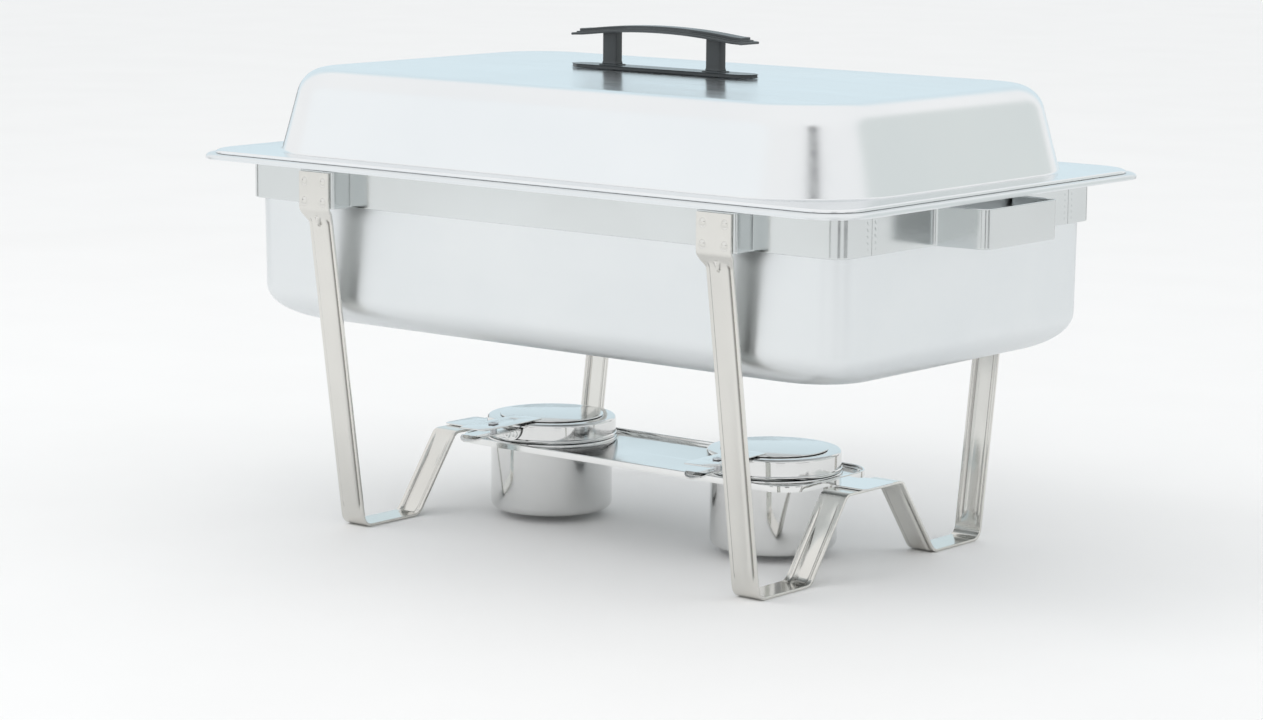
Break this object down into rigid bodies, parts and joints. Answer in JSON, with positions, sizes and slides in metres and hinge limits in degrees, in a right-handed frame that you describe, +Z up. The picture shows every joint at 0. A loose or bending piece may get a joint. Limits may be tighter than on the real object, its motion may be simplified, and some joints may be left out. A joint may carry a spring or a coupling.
{
  "type": "chafing dish food warmer",
  "caption": "Full-size stainless chafing dish: bent-strip stand with end grips, water pan, food pan, domed lift-off cover, and fuel holders with swinging dampers in a shelf.",
  "frame": {"origin": "on the table, under the middle of the dish", "axes": "+X along the long side to the right end, +Y to the back, +Z up; the pictured front is -Y"},
  "size_m": [0.585, 0.356, 0.35],
  "materials": {
    "satin_steel": "satin",
    "polished_steel": "polished",
    "black_plastic": "matte",
    "zinc_steel": "satin"
  },
  "bodies": {
    "stand": {"front_band": "polished_steel", "rear_band": "polished_steel", "left_end_strip": "polished_steel", "right_end_strip": "polished_steel", "left_leg_strip": "polished_steel", "right_leg_strip": "polished_steel", "burner_shelf": "polished_steel"},
    "water_pan": {"water_pan": "satin_steel"},
    "food_pan": {"food_pan": "satin_steel"},
    "cover": {"cover_dome": "satin_steel", "handle_base": "black_plastic", "handle_grip": "black_plastic", "left_handle_screw": "zinc_steel", "left_handle_washer": "zinc_steel", "right_handle_screw": "zinc_steel", "right_handle_washer": "zinc_steel"},
    "left_holder": {"left_cup": "polished_steel"},
    "left_cap_body": {"left_cap": "polished_steel", "left_damper_bracket": "polished_steel", "left_pivot_rivet": "zinc_steel"},
    "left_damper_body": {"left_damper": "polished_steel"},
    "right_holder": {"right_cup": "polished_steel"},
    "right_cap_body": {"right_cap": "polished_steel", "right_damper_bracket": "polished_steel", "right_pivot_rivet": "zinc_steel"},
    "right_damper_body": {"right_damper": "polished_steel"}
  },
  "joints": [
    {"name": "water_pan_lift", "type": "slide", "parent": "stand", "child": "water_pan", "axis": [0, 0, 1], "range_m": [0, 0.12]},
    {"name": "food_pan_lift", "type": "slide", "parent": "water_pan", "child": "food_pan", "axis": [0, 0, 1], "range_m": [0, 0.08]},
    {"name": "cover_lift", "type": "slide", "parent": "food_pan", "child": "cover", "axis": [0, 0, 1], "range_m": [0, 0.1]},
    {"name": "left_holder_lift", "type": "slide", "parent": "stand", "child": "left_holder", "axis": [0, 0, 1], "range_m": [0, 0.045]},
    {"name": "left_cap_lift", "type": "slide", "parent": "left_holder", "child": "left_cap_body", "axis": [0, 0, 1], "range_m": [0, 0.014]},
    {"name": "left_damper_swing", "type": "hinge", "parent": "left_cap_body", "child": "left_damper_body", "pos_m": [-0.09525, -0.06591, 0.0723], "axis": [0, 0, 1], "range_deg": [0, 90]},
    {"name": "right_holder_lift", "type": "slide", "parent": "stand", "child": "right_holder", "axis": [0, 0, 1], "range_m": [0, 0.045]},
    {"name": "right_cap_lift", "type": "slide", "parent": "right_holder", "child": "right_cap_body", "axis": [0, 0, 1], "range_m": [0, 0.014]},
    {"name": "right_damper_swing", "type": "hinge", "parent": "right_cap_body", "child": "right_damper_body", "pos_m": [0.10215, -0.06591, 0.0723], "axis": [0, 0, 1], "range_deg": [0, 90]}
  ]
}
